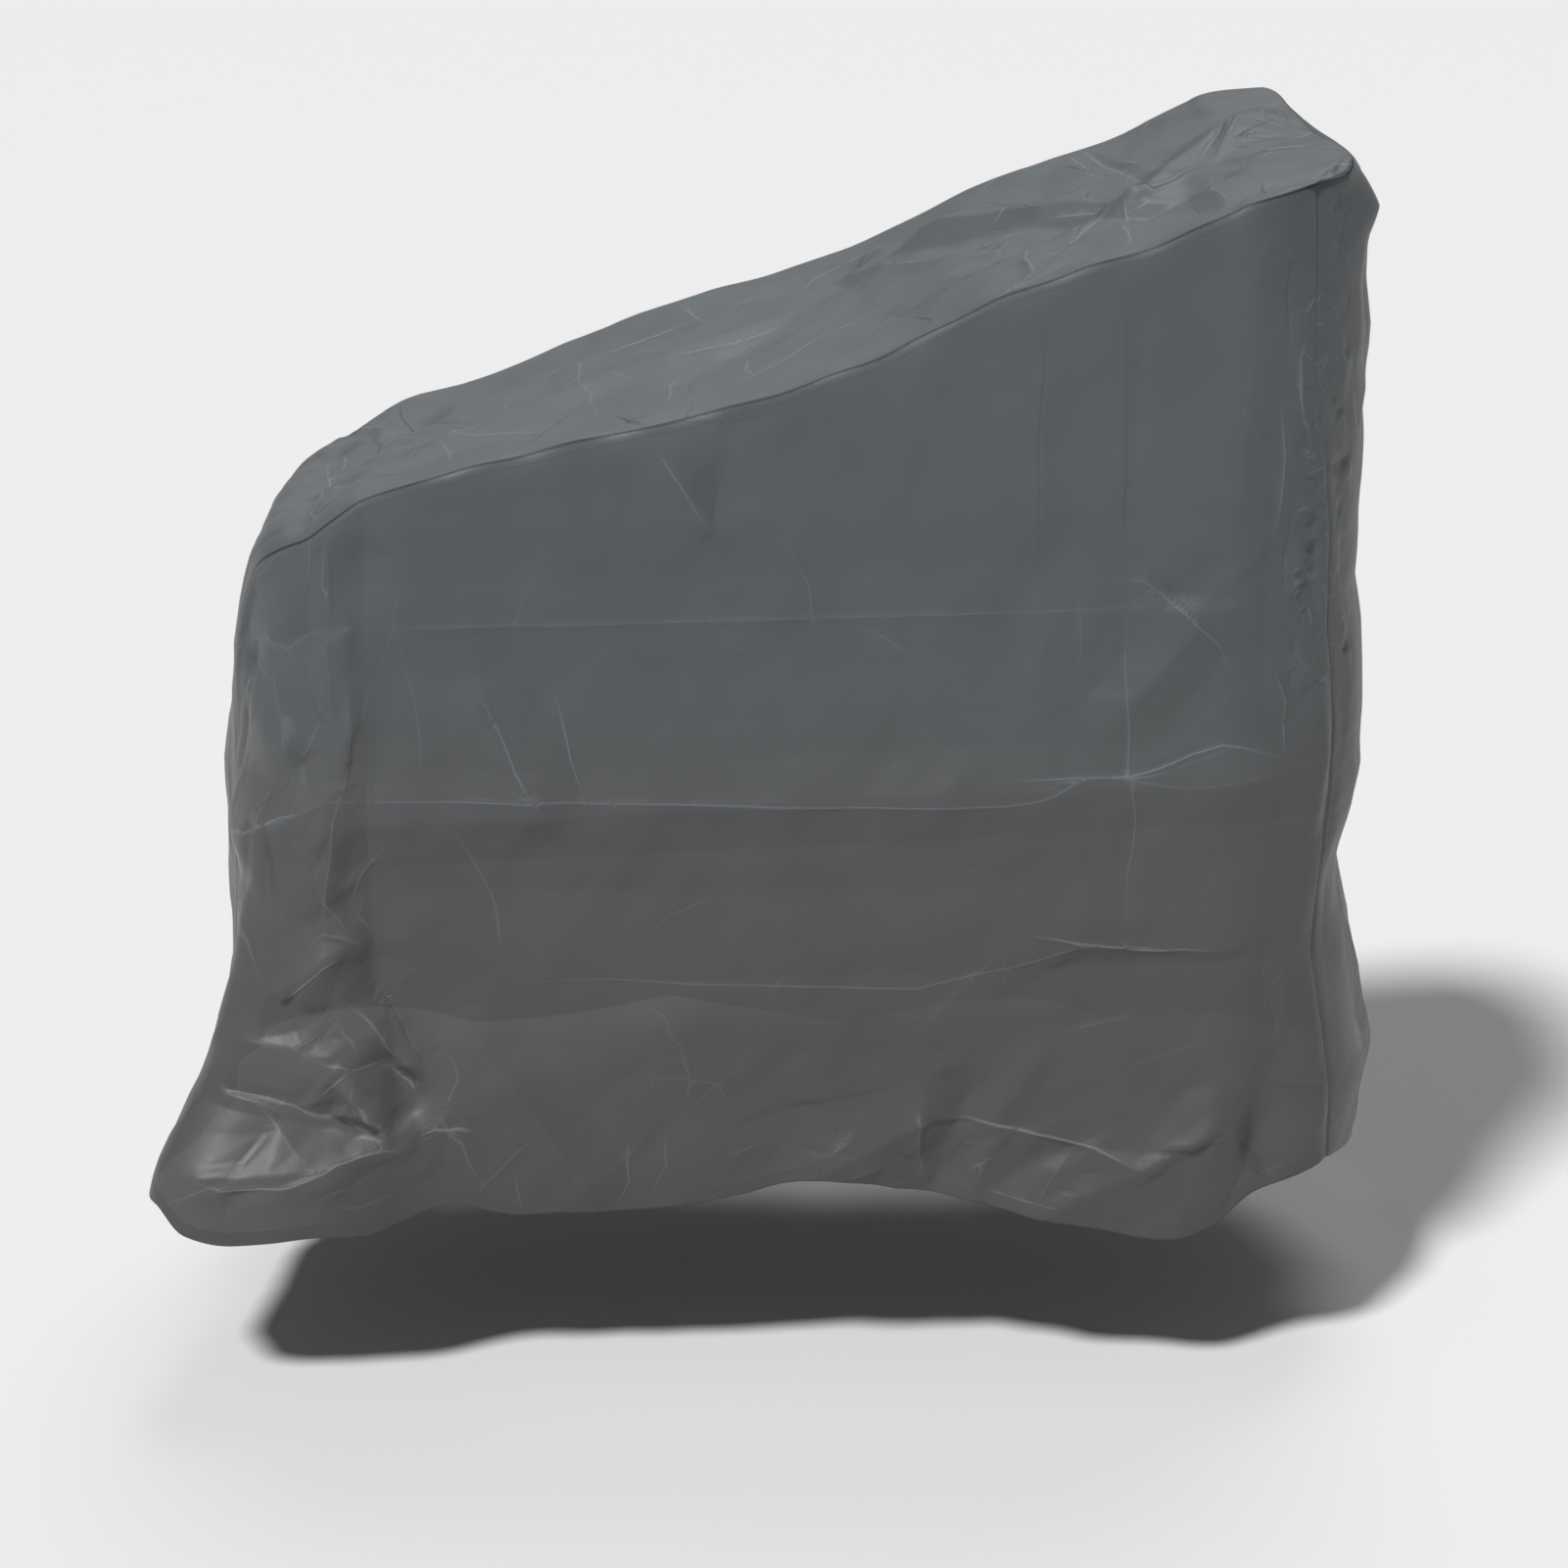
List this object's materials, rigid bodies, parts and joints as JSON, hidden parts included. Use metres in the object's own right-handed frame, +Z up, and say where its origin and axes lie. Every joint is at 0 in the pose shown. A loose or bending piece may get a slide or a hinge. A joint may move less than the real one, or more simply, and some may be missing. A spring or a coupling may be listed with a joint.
{
  "type": "exercise bike cover",
  "caption": "Fitted dust cover for an exercise bike: thin semi-sheer cloth sewn from side, top and front panels, with an open hem.",
  "frame": {"origin": "just under the middle of the sloping top, where the covered bike holds the cloth up", "axes": "+X towards the high front end, +Y away from the near side, +Z up"},
  "size_m": [1.244, 0.6172, 1.0783],
  "materials": {
    "coated_cloth": "thin, slightly shiny coated cloth, dark grey, a little sheer"
  },
  "bodies": {
    "root": {"near_side_panel": "coated_cloth", "far_side_panel": "coated_cloth", "top_and_rear_strip": "coated_cloth", "front_panel": "coated_cloth"}
  },
  "joints": []
}
